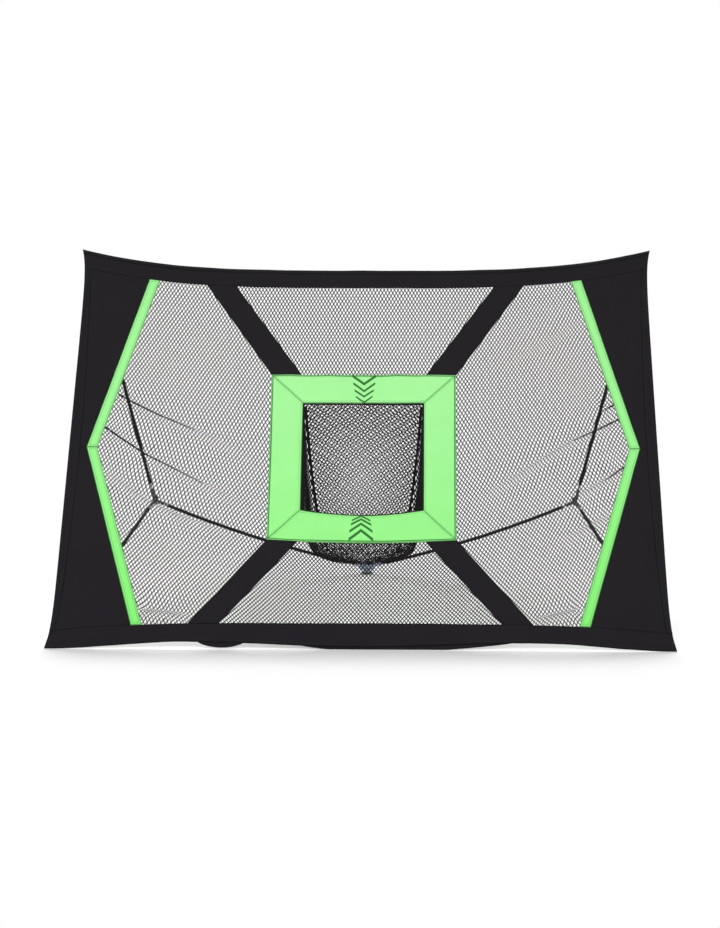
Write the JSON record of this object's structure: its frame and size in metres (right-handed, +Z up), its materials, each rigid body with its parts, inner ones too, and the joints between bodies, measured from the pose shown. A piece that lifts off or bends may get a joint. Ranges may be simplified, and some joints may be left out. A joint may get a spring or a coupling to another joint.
{
  "type": "golf chipping net",
  "caption": "Leaning fabric practice screen with a square catching pocket, held open by a folding rod frame behind it.",
  "frame": {"origin": "centre of the bounding box at floor level", "axes": "+X along the screen width, player on the -Y side, +Z up"},
  "size_m": [1.3, 0.7674, 0.764],
  "materials": {
    "black_fabric": "woven polyester",
    "green_fabric": "woven polyester",
    "netting": "knitted mesh",
    "rod": "pultruded glass fibre",
    "sleeve": "braided sleeve",
    "connector": "moulded",
    "steel": "zinc plated",
    "rubber": "moulded"
  },
  "bodies": {
    "rear_joint": {"rear_hub": "connector", "hub_pins": "steel", "foot_pad": "rubber"},
    "left_arm": {"rear_rod_left": "rod", "rear_sleeve_left": "sleeve", "side_eye_left": "connector", "hub_eye_left": "connector"},
    "right_arm": {"rear_rod_right": "rod", "rear_sleeve_right": "sleeve", "side_eye_right": "connector", "hub_eye_right": "connector"},
    "left_wing": {"side_connector_left": "connector", "side_pin_left": "steel", "rod_upper_left": "rod", "rod_lower_left": "rod", "sleeve_upper_left": "sleeve", "sleeve_lower_left": "sleeve", "tip_upper_left": "connector", "tip_lower_left": "connector"},
    "right_wing": {"side_connector_right": "connector", "side_pin_right": "steel", "rod_upper_right": "rod", "rod_lower_right": "rod", "sleeve_upper_right": "sleeve", "sleeve_lower_right": "sleeve", "tip_upper_right": "connector", "tip_lower_right": "connector"},
    "screen": {"top_band": "black_fabric", "bottom_band": "black_fabric", "side_panel_left_upper": "black_fabric", "side_panel_left_lower": "black_fabric", "side_panel_right_upper": "black_fabric", "side_panel_right_lower": "black_fabric", "side_hem_left": "black_fabric", "side_hem_right": "black_fabric", "ground_flap": "black_fabric", "net_top": "netting", "net_bottom": "netting", "net_left": "netting", "net_right": "netting", "strap_upper_left": "black_fabric", "strap_upper_right": "black_fabric", "strap_lower_left": "black_fabric", "strap_lower_right": "black_fabric", "trim_left_upper": "green_fabric", "trim_left_lower": "green_fabric", "trim_right_upper": "green_fabric", "trim_right_lower": "green_fabric", "border_top": "green_fabric", "border_bottom": "green_fabric", "border_left": "green_fabric", "border_right": "green_fabric", "catch_bag": "netting", "corner_pouch_upper_left": "black_fabric", "corner_pouch_upper_right": "black_fabric", "corner_pouch_lower_left": "black_fabric", "corner_pouch_lower_right": "black_fabric"}
  },
  "joints": [
    {"name": "left_arm_fold", "type": "hinge", "parent": "rear_joint", "child": "left_arm", "pos_m": [-0.011, 0.3703, 0.01662], "axis": [0, 0.6157, 0.788], "range_deg": [0, 52.3], "deforming": ["top_band", "bottom_band", "side_panel_left_upper", "side_panel_left_lower", "side_panel_right_upper", "side_panel_right_lower", "side_hem_left", "side_hem_right", "ground_flap", "net_top", "net_bottom", "net_left", "net_right", "strap_upper_left", "strap_upper_right", "strap_lower_left", "strap_lower_right", "trim_left_upper", "trim_left_lower", "trim_right_upper", "trim_right_lower", "border_top", "border_bottom", "border_left", "border_right", "catch_bag", "corner_pouch_upper_left", "corner_pouch_upper_right", "corner_pouch_lower_left", "corner_pouch_lower_right"]},
    {"name": "right_arm_fold", "type": "hinge", "parent": "rear_joint", "child": "right_arm", "pos_m": [0.011, 0.3703, 0.01662], "axis": [0, -0.6157, -0.788], "range_deg": [0, 52.3]},
    {"name": "left_wing_fold", "type": "hinge", "parent": "left_arm", "child": "left_wing", "pos_m": [-0.465, 0.11867, 0.21756], "axis": [0, 0.6157, 0.788], "range_deg": [-22.85, 0]},
    {"name": "right_wing_fold", "type": "hinge", "parent": "right_arm", "child": "right_wing", "pos_m": [0.465, 0.11867, 0.21756], "axis": [0, -0.6157, -0.788], "range_deg": [-22.85, 0]},
    {"name": "screen_gather", "type": "hinge", "parent": "left_wing", "child": "screen", "pos_m": [-0.6385, -0.08779, 0.37886], "axis": [0, 0.6157, 0.788], "range_deg": [-29.55, 0]}
  ],
  "couplings": [
    {"joint": "right_arm_fold", "follows": "left_arm_fold", "ratio": 1},
    {"joint": "left_wing_fold", "follows": "left_arm_fold", "ratio": -0.43598},
    {"joint": "right_wing_fold", "follows": "left_arm_fold", "ratio": -0.43598},
    {"joint": "screen_gather", "follows": "left_arm_fold", "ratio": -0.56402}
  ]
}
